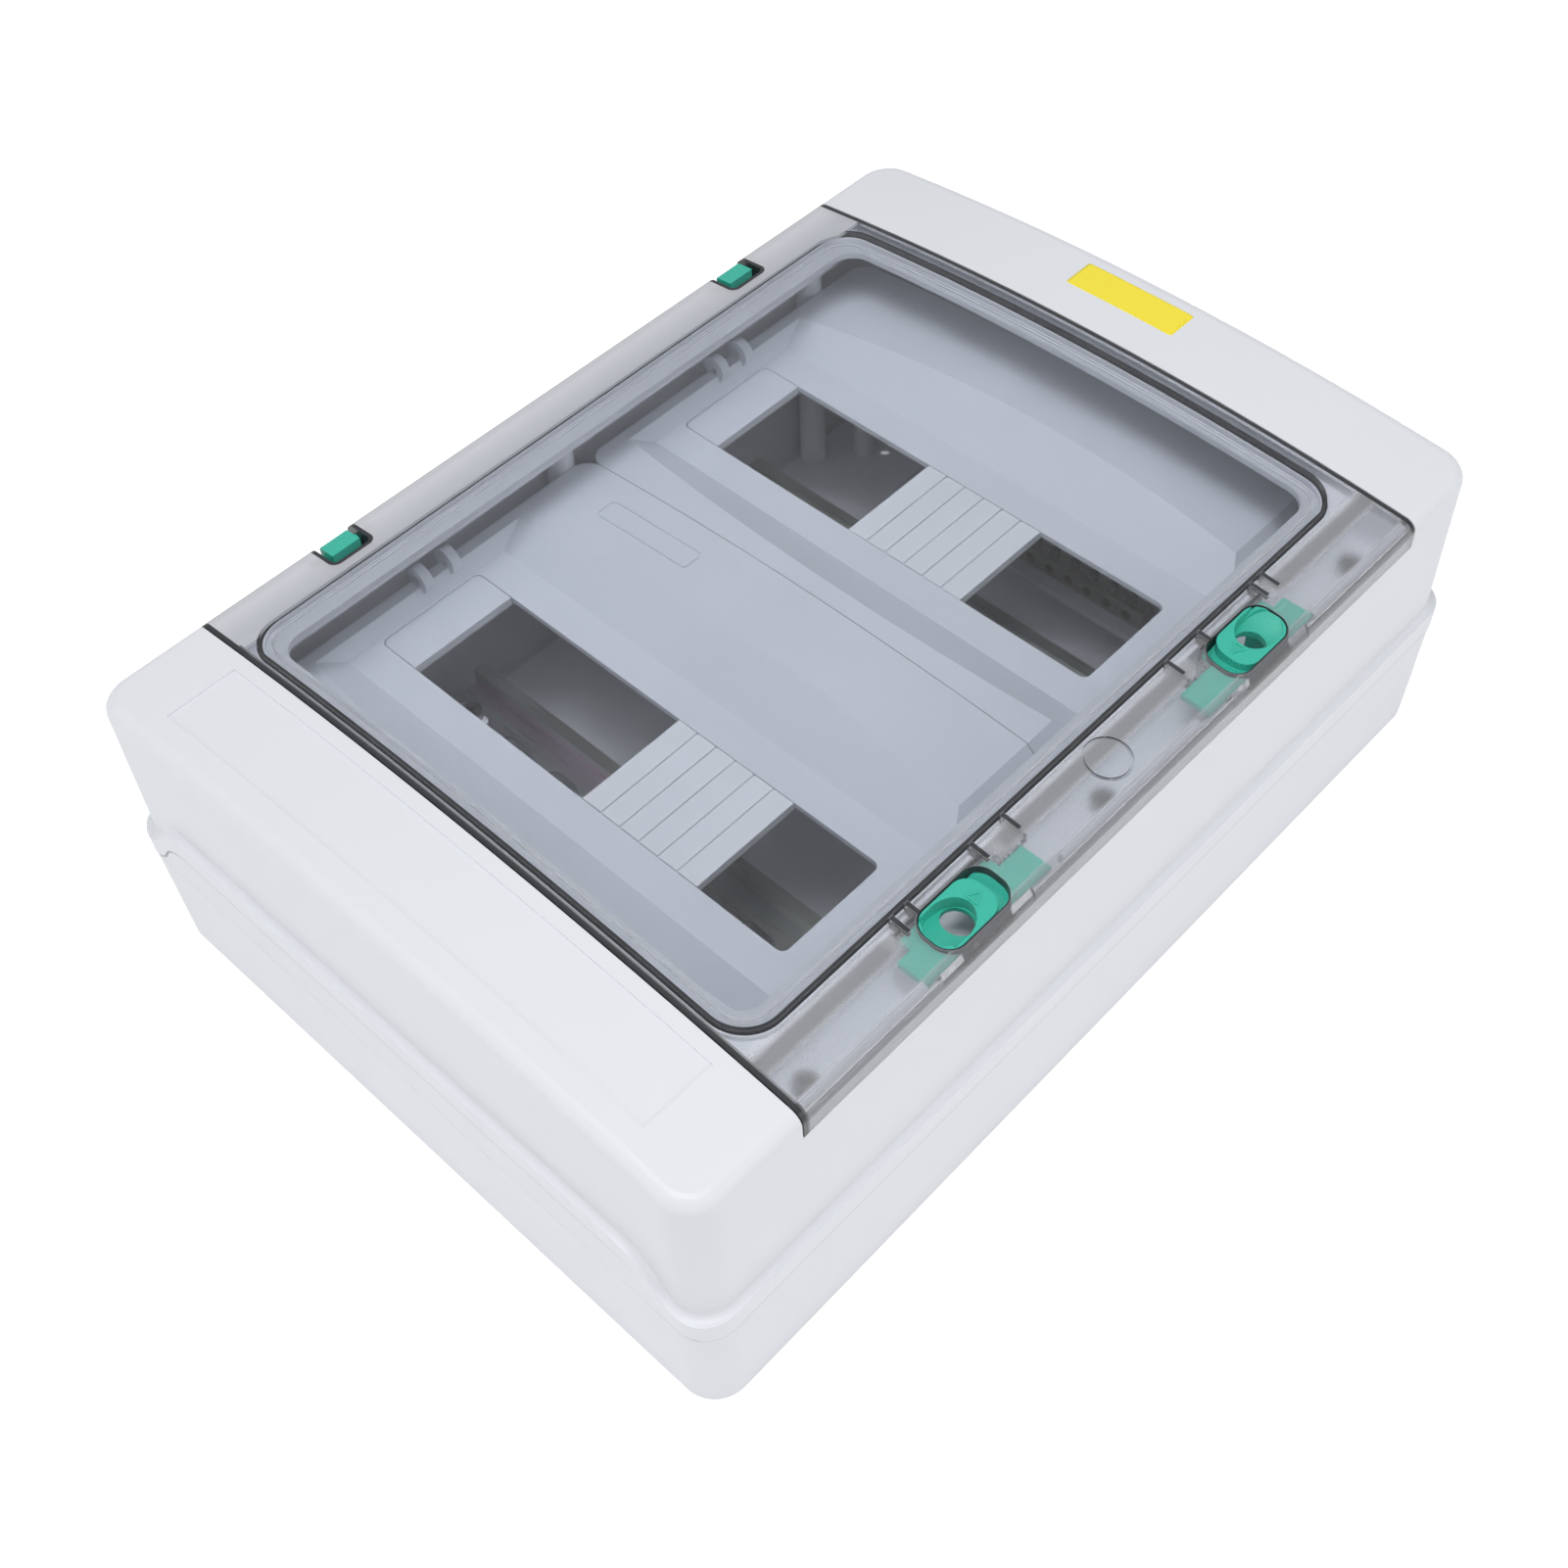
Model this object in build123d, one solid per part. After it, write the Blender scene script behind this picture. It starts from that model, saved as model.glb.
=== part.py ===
from build123d import *
import os
from math import cos, pi, radians, sin, sqrt

# Surface-mounted electrical distribution box for two rows of modular devices.
# It lies on its back: +Z points out of the wall, +Y to the top end, +X to the latch side.
# The origin is the centre of the back face. All sizes are in millimetres.

# Device rows
module = 18.0                # width of one modular device
module_count = 11
row_pitch = 153.0
slot_height = 46.2
slot_round = 3.0
strip_modules = 3
strip_grooves = 6            # pitches in a blanking strip
end_blank_width = 18.5
lower_first_opening = 87.0
upper_first_opening = 68.5
blank_hook = 1.5             # how far a blank grips behind the panel
blank_hook_thickness = 1.2
strip_groove = 0.8

# Enclosure
hinge_side = 22.5            # from the hinge side to the slots
latch_side = 58.5            # from the slots to the latch side
box_length = 400.0           # across the joint band
base_height = 50.0           # back face to the joint along the sides
cover_side_height = 76.5     # joint to the side edges of the front
arch_rise = 8.0              # the front is arched across the width
corner_radius = 13.0
edge_round = 5.0
wall = 2.6
floor_thickness = 3.0
band_height = 9.5            # thickened band round the cover's open side
band_step = 2.5
band_hollow = 2.2            # rounding between the band and the wall
cover_draft = 1.0
base_step = 0.3              # the base stands back from the band
base_draft = 0.8
rim_width = 7.0              # joint faces of base and cover
rim_height = 6.0
fit = 0.3                    # general running clearance

# Joint line that rises along both end walls
joint_rise = 19.0
joint_flat = 212.0           # level stretch in the middle
joint_run = 32.0             # length of each curved ramp
lap_thickness = 2.6          # raised end wall that laps the cover's skirt

# Door
door_length = 308.0
door_centre_y = 2.4
door_thickness = 3.0
door_gap = 0.5
flange_depth = 11.0
hinge_turn = 50.0            # how far the hinge edge curls past the side
end_rib_depth = 3.2          # stiffening rib under both ends
end_rib_width = 1.6

# Deck under the door
deck_drop = 7.0              # below the front surface
deck_thickness = 2.4
window_hinge_side = 27.5     # from the side of the cover
window_latch_side = 35.0
window_length = 285.0
window_round = 9.0
hinge_channel_width = 13.5   # from the side of the cover
hinge_channel_depth = 26.5   # below the front surface
latch_trough_width = 24.0    # from the side of the cover
latch_trough_depth = 28.5
trough_wall = 2.2

# Door seal
seal_width = 2.2
seal_hinge_side = 17.5       # from the side of the cover
seal_latch_side = 27.2
seal_length = 298.0
seal_round = 14.0
seal_groove_depth = 1.5

# Joint seal
gasket_inset = 2.4           # from the rim's inner edge
gasket_width = 2.4
gasket_height = 2.2

# Cover screws
screw_pitch_y = 139.0
screw_latch_side = 13.5      # from the side of the cover
screw_hinge_side = 7.8
screw_diameter = 4.0
screw_head_diameter = 8.6
screw_head_height = 3.4
screw_reach = 18.0
sleeve_diameter = 11.0
cross_size = 4.4
cross_width = 1.1
cross_depth = 1.8

# Wall fixing holes
fixing_side = 29.5           # from the side of the cover
fixing_end = 31.5
fixing_diameter = 5.5

# Inner panels
panel_hinge_side = 13.5      # from the side of the cover
panel_latch_side = 27.5
panel_end = 28.5
panel_split = 11.0
panel_round = 8.0
panel_thickness = 2.4
panel_drop = 32.5            # plateau below the front surface
tray_depth = 46.0
tray_half_height = 37.0
tray_slope = 1.5             # run over depth of the long slopes
tray_end_slope = 0.35
tray_margin = 1.2            # sunken field beyond the slot on the hinge side
plateau_margin = 18.0        # beyond the slot on the latch side
post_diameter = 9.0
post_inset = 9.0

# Panel ears
ear_radius = 5.5
ear_width = 4.0
ear_hole = 3.4
ear_spacing = 13.0
ear_inset = 3.0
ear_lift = 2.0
ear_offset = 9.0

# Label frame on the lower panel
frame_width = 47.0
frame_height = 9.7
frame_side = 27.0            # from the panel's hinge side
frame_split = 11.0           # from the edge between the panels
frame_round = 2.0
frame_line = 0.6
frame_depth = 0.4

# Mounting rails
rail_width = 35.0
rail_height = 7.5
rail_sheet = 1.0
rail_face = 43.0
rail_start = 1.0             # before the first module
rail_spare = 26.0            # longer than the modules
rail_slot_length = 15.0
rail_slot_width = 6.2
rail_slot_pitch = 25.0
rail_post_x = 16.0
rail_post_y = 25.0
rail_post_inset = 12.0
rail_screw_diameter = 4.0
rail_screw_head = 8.4
rail_screw_head_height = 2.8
rail_screw_length = 12.0
rail_lip_width = 5.0

# Terminal bars
bar_length = 110.0
bar_width = 6.5
bar_height = 9.0
bar_pitch_y = 16.0
bar_end = 56.5               # from the end of the cover
bar_screws = 11
bar_screw_pitch = 9.5
bar_hole = 4.2               # for the wires, one under each screw
bar_hole_height = 4.0
bar_screw_diameter = 4.4
bar_screw_height = 3.0
bar_seat = 30.0
carrier_thickness = 3.0
carrier_length = 140.0
carrier_width = 34.0
carrier_round = 3.0

# Latches
latch_pitch_y = 143.0
latch_side_distance = 12.0   # from the side of the cover
latch_opening_width = 16.4
latch_opening_length = 31.0
latch_opening_round = 6.5
latch_travel = 5.0
slider_width = 16.0
slider_outer = 26.0          # reach from the latch centre away from the middle
slider_inner = 31.0
slider_wide_outer = 20.0     # reach of the wider part on the seal side
slider_step = 4.7            # width of that part
slider_thickness = 2.4
slider_drop = 11.1           # below the front surface
guide_thickness = 1.2
guide_lip = 1.6
guide_reach = 21.0
step_lip = 0.8               # raised edge inside the knob
step_lip_gap = 2.4
hook_thickness = 3.0
hook_width = 12.0
hook_reach = 3.0
hook_drop = 10.0
hook_nose_height = 2.6
leg_place = -14.0            # outer face of the hook's leg, from the latch centre
catch_overlap = 1.8
catch_gap = 4.0
catch_thickness = 3.0
spring_stop_lower = 33.0     # from the latch centre
spring_stop_upper = 25.5
spring_diameter = 3.6
spring_wire = 0.6
spring_length = 12.5
spring_turns = 6
spring_sides = 12            # straight runs in one turn
bowl_radius = 7.0
bowl_place = 7.6             # from the knob's outer end
bowl_floor = 1.8             # thickness left under the deepest place
bowl_sweep = 18.0            # radius of its rising floor
bowl_gap = 3.8               # slot between floor and inner wall
bowl_rim = 0.9
arrow_margin = 1.8
arrow_size = 5.0
arrow_line = 0.6
arrow_relief = 0.4
gusset_width = 1.2
gussets_lower = ((-17.5, 5.0), (-10.6, 3.0), (18.7, 3.0))   # place and length of each
gussets_upper = ((-26.5, 5.0), (-20.3, 3.0), (8.8, 3.0))
lock_side = 15.0
lock_offset = 1.6
lock_circle = 16.5
lock_line = 0.8
lock_depth = 0.7

# Hinge clips
hinge_pitch_y = 197.0
notch_width = 16.0
notch_reach = 14.6
notch_round = 2.0
clip_width = 12.0
clip_reach = 10.5
pin_diameter = 3.6
pin_length = 3.5
knuckle_length = 5.0

# Label field on the bottom end
field_side = 29.0            # from the side of the cover
field_height = 27.0
field_end = 25.5             # its middle, from the end of the cover
field_depth = 0.6

# Derived places
row_length = module_count * module
half_width = (hinge_side + row_length + latch_side) / 2
half_length = box_length / 2 - band_step - cover_draft
box_width = 2 * (half_width + band_step + cover_draft)
row_left = hinge_side - half_width
slot_right = row_left + row_length
window_left = window_hinge_side - half_width
window_right = half_width - window_latch_side
hinge_channel_edge = hinge_channel_width - half_width
latch_trough_edge = half_width - latch_trough_width
seal_left = seal_hinge_side - half_width
seal_right = half_width - seal_latch_side
screw_left_x = screw_hinge_side - half_width
screw_right_x = half_width - screw_latch_side
fixing_pitch_x = 2 * (half_width - fixing_side)
fixing_pitch_y = 2 * (half_length - fixing_end)
panel_left = panel_hinge_side - half_width
panel_right = half_width - panel_latch_side
panel_top = half_length - panel_end
panel_bottom = -panel_top
tray_left = row_left - tray_margin
plateau_right = slot_right + plateau_margin
rail_length = row_length + rail_spare
rail_centre_x = row_left - rail_start + rail_length / 2
rail_post_pitch = rail_length - 2 * rail_post_inset
bar_centre_y = half_length - bar_end
latch_x = half_width - latch_side_distance
lock_x = half_width - lock_side
field_width = 2 * (half_width - field_side)
field_centre_y = field_end - half_length
edge_z = base_height + cover_side_height
crown_z = edge_z + arch_rise
arch_radius = (half_width**2 + arch_rise**2) / (2 * arch_rise)
hinge_x = -(half_width - edge_round)
hinge_z = crown_z - arch_radius + sqrt((arch_radius - edge_round) ** 2 - hinge_x**2)
door_bottom = door_centre_y - door_length / 2
door_top = door_centre_y + door_length / 2
bed_drop = door_thickness + fit
hinge_channel_floor = crown_z - hinge_channel_depth
latch_trough_floor = crown_z - latch_trough_depth
tray_floor = crown_z - tray_depth
slider_top = crown_z - slider_drop
row_centres = {"lower": -row_pitch / 2, "upper": row_pitch / 2}
first_opening = {"lower": lower_first_opening, "upper": upper_first_opening}
panel_spans = {"lower": (panel_bottom, panel_split - fit / 2), "upper": (panel_split + fit / 2, panel_top)}
lock_y = door_centre_y + lock_offset
latch_centres = {"lower": door_centre_y - latch_pitch_y / 2, "upper": door_centre_y + latch_pitch_y / 2}
toward_middle = {"lower": 1, "upper": -1}
hinge_centres = {"lower": door_centre_y - hinge_pitch_y / 2, "upper": door_centre_y + hinge_pitch_y / 2}
screw_places = [
    (x, door_centre_y + k * screw_pitch_y) for x in (screw_left_x, screw_right_x) for k in (-1, 0, 1)
]
rail_base = rail_face - rail_height
seat_z = tray_floor - panel_thickness
bed_bottom = door_bottom - door_gap
bed_top = door_top + door_gap
hinge_wall_top = hinge_z - edge_round - fit
trough_outer = half_width - bed_drop - trough_wall
slider_bottom = slider_top - slider_thickness
gussets = {"lower": gussets_lower, "upper": gussets_upper}
spring_stops = {"lower": spring_stop_lower, "upper": spring_stop_upper}
spring_x = latch_x - slider_width / 2 + slider_step / 2
hook_low = slider_bottom - hook_drop
base_half = (box_width / 2 - base_step, box_length / 2 - base_step)
gasket_line = (base_half[0] - rim_width + gasket_inset, base_half[1] - rim_width + gasket_inset)


# Shared shapes
def arch_z(x, drop=0.0):
    """Height of the arched surface that lies a given depth below the front."""
    return crown_z - arch_radius + sqrt((arch_radius - drop) ** 2 - x**2)


def block(x0, x1, y0, y1, z0, z1):
    """Box between two corners."""
    centre = ((x0 + x1) / 2, (y0 + y1) / 2, (z0 + z1) / 2)
    return Pos(*centre) * Box(abs(x1 - x0), abs(y1 - y0), abs(z1 - z0))


def post(x, y, z0, z1, diameter):
    """Upright cylinder."""
    return Pos(x, y, (z0 + z1) / 2) * Cylinder(diameter / 2, z1 - z0)


def rod_y(x, z, y0, y1, radius):
    """Cylinder along the length of the box."""
    return Pos(x, (y0 + y1) / 2, z) * Rot(90, 0, 0) * Cylinder(radius, abs(y1 - y0))


def slab_y(points, y0, y1):
    """Straight-edged section in X and Z, carried along Y."""
    outline = Polyline(*[(x, 0, z) for x, z in points], close=True)
    return Pos(0, y1, 0) * extrude(make_face(outline), amount=y1 - y0, dir=(0, -1, 0))


def slab_x(points, x0, x1):
    """Straight-edged section in Y and Z, carried along X."""
    outline = Polyline(*[(0, y, z) for y, z in points], close=True)
    return Pos(x0, 0, 0) * extrude(make_face(outline), amount=x1 - x0, dir=(1, 0, 0))


def plate(x0, x1, y0, y1, z0, z1, radius):
    """Upright prism on a rounded rectangle."""
    outline = RectangleRounded(x1 - x0, y1 - y0, radius)
    return Pos((x0 + x1) / 2, (y0 + y1) / 2, z0) * extrude(outline, amount=z1 - z0)


def ring(x0, x1, y0, y1, z0, z1, radius, width):
    """Rounded rectangular ring, measured to the middle of its width."""
    w = width / 2
    outer = plate(x0 - w, x1 + w, y0 - w, y1 + w, z0, z1, radius + w)
    return outer - plate(x0 + w, x1 - w, y0 + w, y1 - w, z0 - 1, z1 + 1, radius - w)


def under_arch(drop, x0, x1, y0, y1, low):
    """Solid below the arched surface."""
    middle = (x0 + x1) / 2
    a = (x0, 0, arch_z(x0, drop))
    b = (middle, 0, arch_z(middle, drop))
    c = (x1, 0, arch_z(x1, drop))
    outline = ThreePointArc(a, b, c) + Polyline(c, (x1, 0, low), (x0, 0, low), a)
    return Pos(0, y1, 0) * extrude(make_face(outline), amount=y1 - y0, dir=(0, -1, 0))


def rounded_prism(x0, y0, z0, x1, y1, z1, radius):
    """Straight-sided loft between two rounded rectangles given by half sizes."""
    low = Pos(0, 0, z0) * RectangleRounded(2 * x0, 2 * y0, radius)
    high = Pos(0, 0, z1) * RectangleRounded(2 * x1, 2 * y1, radius)
    return loft([low, high], ruled=True)


def envelope(inset, low, rounding=True):
    """The cover's outer form, drawn inward by an inset."""
    spread = cover_draft / cover_side_height
    top = crown_z + edge_round
    wide = spread * (edge_z - low) - inset
    narrow = spread * (edge_z - top) - inset
    body = rounded_prism(
        half_width + wide, half_length + wide, low,
        half_width + narrow, half_length + narrow, top, max(corner_radius - inset, 1.0),
    )
    body &= under_arch(inset, -box_width, box_width, -box_length, box_length, low - 1)
    if rounding and inset < edge_round:
        body = fillet(body.faces().sort_by(Axis.Z)[-1].edges(), edge_round - inset)
    return body


def end_ramp(lift, base_z):
    """Solid below the raised joint line of both end walls."""
    top_x = joint_flat / 2
    foot_x = top_x + joint_run
    low = base_height + lift
    high = low + joint_rise
    middle_x = (top_x + foot_x) / 2
    middle_z = (low + high) / 2
    edges = []
    for side in (1, -1):
        upper = TangentArc((side * top_x, 0, high), (side * middle_x, 0, middle_z), tangent=(side, 0, 0))
        lower = TangentArc((side * foot_x, 0, low), (side * middle_x, 0, middle_z), tangent=(-side, 0, 0))
        edges += [upper, lower]
    edges.append(Line((-top_x, 0, high), (top_x, 0, high)))
    edges.append(Polyline((foot_x, 0, low), (foot_x, 0, base_z), (-foot_x, 0, base_z), (-foot_x, 0, low)))
    section = make_face(Wire(Curve(edges).edges()))
    whole = Pos(0, box_length, 0) * extrude(section, amount=2 * box_length, dir=(0, -1, 0))
    return whole - block(-box_width, box_width, door_bottom, door_top, 0, crown_z)


def base_form(inset, low, high):
    """The base's outer form, drawn inward by an inset."""
    lean = base_draft / base_height
    x, y = base_half
    a = lean * (base_height - low) + inset
    b = lean * (base_height - min(high, base_height)) + inset
    return rounded_prism(x - a, y - a, low, x - b, y - b, high, max(corner_radius - inset, 1.0))


def rail_posts():
    """Places of the two fixings of each mounting rail."""
    for y in row_centres.values():
        for side in (-1, 1):
            yield rail_centre_x + side * rail_post_pitch / 2, y


def panel_posts():
    """Places of the pillars under the inner panels, with the height of each."""
    for low, high in panel_spans.values():
        for y in (low + post_inset, high - post_inset):
            left = panel_left + post_inset
            yield left, y, arch_z(left - post_diameter / 2, panel_drop + panel_thickness) - fit
            yield panel_right - post_inset, y, seat_z


def carrier_posts():
    """Places of the pillars under the terminal carrier."""
    for side in (-1, 1):
        yield side * (carrier_length - rail_post_x) / 2, bar_centre_y


# Base
def make_base():
    body = base_form(0, 0, base_height)
    body -= base_form(wall, floor_thickness, base_height + 1)
    rim_low = base_height - rim_height
    body += base_form(0, rim_low, base_height) - base_form(rim_width, rim_low - 1, base_height + 1)
    lap_top = base_height + joint_rise
    lap = base_form(0, rim_low, lap_top) - base_form(lap_thickness, rim_low - 1, lap_top + 1)
    body += lap & end_ramp(0, rim_low)
    foot = floor_thickness / 2
    for x, y in screw_places:
        body += post(x, y, foot, base_height, sleeve_diameter)
    for x, y in rail_posts():
        body += block(x - rail_post_x / 2, x + rail_post_x / 2, y - rail_post_y / 2, y + rail_post_y / 2,
                      foot, rail_base)
    for x, y, top in panel_posts():
        body += post(x, y, foot, top, post_diameter)
    for x, y in carrier_posts():
        body += block(x - rail_post_x / 2, x + rail_post_x / 2, y - carrier_width / 2, y + carrier_width / 2,
                      foot, bar_seat)
    for x, y in screw_places:
        body -= post(x, y, base_height - screw_reach - fit, base_height + 1, screw_diameter + fit)
    for x, y in rail_posts():
        deep = rail_base + rail_sheet - rail_screw_length - fit
        body -= post(x, y, deep, rail_base + 1, rail_screw_diameter + fit)
    for x in (-fixing_pitch_x / 2, fixing_pitch_x / 2):
        for y in (-fixing_pitch_y / 2, fixing_pitch_y / 2):
            body -= post(x, y, -1, floor_thickness + 1, fixing_diameter)
    return body - joint_ring(base_height + 1, gasket_width + fit)


# Seal between base and cover
def joint_ring(high, width):
    x, y = gasket_line
    radius = corner_radius - rim_width + gasket_inset
    return ring(-x, x, -y, y, base_height - gasket_height, high, radius, width)


def make_joint_seal():
    return joint_ring(base_height, gasket_width)


# Cover
def cover_blank():
    """Outer form of the cover with its thickened band, still solid."""
    x, y = box_width / 2, box_length / 2
    top = base_height + joint_rise + band_height
    band = rounded_prism(x, y, base_height, x, y, base_height + band_height, corner_radius)
    band += rounded_prism(x, y, base_height, x, y, top, corner_radius) & end_ramp(band_height, base_height)
    form = envelope(0, base_height)
    body = form + band
    return fillet(new_edges(form, band, combined=body), band_hollow)


def cover_hollow():
    """Inside of the cover, open toward the base."""
    inner = envelope(wall, base_height)
    x, y = box_width / 2 - rim_width, box_length / 2 - rim_width
    rim_top = base_height + rim_height
    throat = rounded_prism(x, y, base_height - 1, x, y, rim_top, corner_radius - rim_width)
    upper = inner & block(-box_width, box_width, -box_length, box_length, rim_top, crown_z)
    ends = upper - block(-box_width, box_width, bed_bottom - wall, bed_top + wall, 0, crown_z + 1)
    side = half_width - wall
    left = hinge_channel_edge + deck_thickness
    right = latch_trough_edge - deck_thickness
    a, b = bed_bottom - wall, bed_top + wall
    middle = under_arch(deck_drop + deck_thickness, left, right, a, b, rim_top)
    middle += block(-side, left, a, b, rim_top, hinge_channel_floor - deck_thickness)
    middle += block(right, side, a, b, rim_top, latch_trough_floor - deck_thickness)
    return throat + ends + middle


def seal_ring(width):
    y0 = door_centre_y - seal_length / 2
    y1 = door_centre_y + seal_length / 2
    low = arch_z(seal_left - seal_width, deck_drop + seal_groove_depth) - 1
    return ring(seal_left, seal_right, y0, y1, low, crown_z, seal_round, width)


def door_bed():
    """Everything cut from the cover to take the door and what hangs below it."""
    bed = envelope(bed_drop, base_height)
    flange_low = edge_z - flange_depth - fit
    a, b, top = bed_bottom, bed_top, crown_z + 1
    cut = block(-box_width, box_width, a, b, hinge_z, top) - bed
    cut += block(0, box_width, a, b, flange_low, hinge_z) - bed
    cut += block(-box_width, hinge_channel_edge, a, b, hinge_wall_top, top)
    cut += block(-half_width + wall, hinge_channel_edge, a, b, hinge_channel_floor, top)
    cut += block(latch_trough_edge, trough_outer, a, b, latch_trough_floor, top)
    deck = block(hinge_channel_edge, latch_trough_edge, a, b, base_height, top)
    cut += deck - under_arch(deck_drop, -box_width, box_width, a - 1, b + 1, 0)
    y0 = door_centre_y - window_length / 2
    y1 = door_centre_y + window_length / 2
    cut += plate(window_left, window_right, y0, y1, base_height, top, window_round)
    groove = seal_ring(seal_width + fit)
    cut += groove - under_arch(deck_drop + seal_groove_depth, -box_width, box_width, a, b, 0)
    half = slider_width / 2 + 2 * fit + guide_thickness
    for key in latch_centres:
        cut += latch_block(key, half, -slider_outer - fit, slider_inner + latch_travel + fit,
                           guide_low() - fit, top) & block(trough_outer - 1, box_width, a, b, 0, top)
    return cut


def latch_y(key, place):
    """Position along the box from a place measured toward the middle."""
    return latch_centres[key] + toward_middle[key] * place


def latch_block(key, half, v0, v1, z0, z1):
    """Box on a latch's centre line, given along its travel."""
    return block(latch_x - half, latch_x + half, *sorted((latch_y(key, v0), latch_y(key, v1))), z0, z1)


def make_catch(key):
    """Hooked lug in the latch trough."""
    nose_low = hook_low + hook_nose_height + fit
    nose_top = nose_low + catch_thickness
    nose_end = leg_place - hook_reach + catch_overlap
    foot_inner = leg_place - hook_reach - catch_gap
    body = latch_block(key, hook_width / 2, foot_inner - catch_thickness, foot_inner,
                       latch_trough_floor - deck_thickness / 2, nose_top)
    return body + latch_block(key, hook_width / 2, foot_inner - catch_thickness, nose_end, nose_low, nose_top)


def make_cover():
    body = cover_blank() - cover_hollow()
    for x, y in screw_places:
        floor = hinge_channel_floor if x < 0 else latch_trough_floor
        body += post(x, y, base_height, floor - deck_thickness / 2, sleeve_diameter)
    body -= door_bed()
    for x, y in screw_places:
        body -= post(x, y, base_height - 1, crown_z, screw_diameter + fit)
    for key in latch_centres:
        body += make_catch(key)
    lap = lap_thickness + fit
    x, y = base_half[0] - lap, base_half[1] - lap
    top = base_height + joint_rise + 1
    skirt = rounded_prism(x, y, base_height - 1, x, y, top, corner_radius - lap)
    around = block(-box_width, box_width, -box_length, box_length, base_height - 1, top) - skirt
    body -= around & end_ramp(fit, base_height - 1)
    field = block(-field_width / 2, field_width / 2, field_centre_y - field_height / 2,
                  field_centre_y + field_height / 2, edge_z, crown_z + 1)
    return body - (field - under_arch(field_depth, -box_width, box_width, -box_length, box_length, 0))


def make_door_seal():
    body = seal_ring(seal_width)
    low = deck_drop + seal_groove_depth
    body &= under_arch(bed_drop, -box_width, box_width, bed_bottom, bed_top, 0)
    return body - under_arch(low, -box_width, box_width, bed_bottom, bed_top, -1)


# Cover screws
def make_cover_screws():
    screws = []
    for x, y in screw_places:
        floor = hinge_channel_floor if x < 0 else latch_trough_floor
        head_top = floor + screw_head_height
        body = post(x, y, base_height - screw_reach, floor, screw_diameter)
        body += post(x, y, floor, head_top, screw_head_diameter)
        cross = Box(cross_size, cross_width, 2 * cross_depth) + Box(cross_width, cross_size, 2 * cross_depth)
        screws.append(body - Pos(x, y, head_top) * cross)
    return Compound(children=screws)


# Door
def guide_low():
    return slider_bottom - fit - guide_thickness


def make_guides(key):
    """Ribs under the door that carry a latch, and the stop for its spring."""
    body = None
    for side in (-1, 1):
        inner = side * (slider_width / 2 + fit)
        outer = inner + side * guide_thickness
        lip = inner - side * guide_lip
        reach = guide_reach if side > 0 else spring_stops[key] - spring_length
        a, b = sorted((latch_y(key, -guide_reach), latch_y(key, reach)))
        rib = block(*sorted((latch_x + inner, latch_x + outer)), a, b, guide_low(), crown_z)
        rib += block(*sorted((latch_x + lip, latch_x + outer)), a, b, guide_low(), guide_low() + guide_thickness)
        body = rib if body is None else body + rib
    start = seal_right + seal_width / 2 + fit
    stop_end = spring_x + spring_diameter / 2
    places = [*gussets[key], (spring_stops[key] + gusset_width / 2, stop_end - start)]
    for place, length in places:
        y = latch_y(key, place)
        gusset = block(start, start + length, y - gusset_width / 2, y + gusset_width / 2, base_height, crown_z)
        body += gusset - under_arch(deck_drop - 2 * fit, 0, half_width, bed_bottom, bed_top, base_height - 1)
    return body & envelope(door_thickness / 2, base_height)


def make_end_ribs():
    """Stiffening ribs across both ends of the door."""
    depth = door_thickness + end_rib_depth
    body = under_arch(door_thickness / 2, hinge_x + edge_round, trough_outer - fit, door_bottom, door_top, 0)
    body -= under_arch(depth, -box_width, box_width, bed_bottom, bed_top, -1)
    a, b = door_bottom + end_rib_width, door_top - end_rib_width
    return body - block(-box_width, box_width, a, b, 0, crown_z)


def make_door():
    skin = envelope(0, base_height) - envelope(door_thickness, base_height - 1)
    a, b, top = door_bottom, door_top, crown_z + 1
    body = skin & block(-box_width, box_width, a, b, hinge_z, top)
    body += skin & block(0, box_width, a, b, edge_z - flange_depth, hinge_z)
    curl = rod_y(hinge_x, hinge_z, a, b, edge_round)
    curl -= rod_y(hinge_x, hinge_z, a - 1, b + 1, edge_round - door_thickness)
    curl_end = hinge_z - edge_round * sin(radians(hinge_turn))
    body += curl & block(-box_width, hinge_x, a, b, curl_end, hinge_z)
    for y in hinge_centres.values():
        for side in (-1, 1):
            near = y + side * notch_width / 2
            body += rod_y(hinge_x, hinge_z, *sorted((near, near + side * knuckle_length)), edge_round)
    body += make_end_ribs()
    for key in latch_centres:
        body += make_guides(key)
    for y in hinge_centres.values():
        reach = notch_width / 2 + pin_length
        body -= rod_y(hinge_x, hinge_z, y - reach, y + reach, pin_diameter / 2 + fit)
        body -= plate(-box_width, notch_reach - half_width, y - notch_width / 2, y + notch_width / 2, 0, top,
                      notch_round)
    for y in latch_centres.values():
        half_x, half_y = latch_opening_width / 2, latch_opening_length / 2
        body -= plate(latch_x - half_x, latch_x + half_x, y - half_y, y + half_y, slider_top + fit, top,
                      latch_opening_round)
    line = post(lock_x, lock_y, edge_z, top, lock_circle) - post(lock_x, lock_y, edge_z - 1, top + 1,
                                                                  lock_circle - 2 * lock_line)
    return body - (line - under_arch(lock_depth, 0, box_width / 2, a, b, 0))


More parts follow.
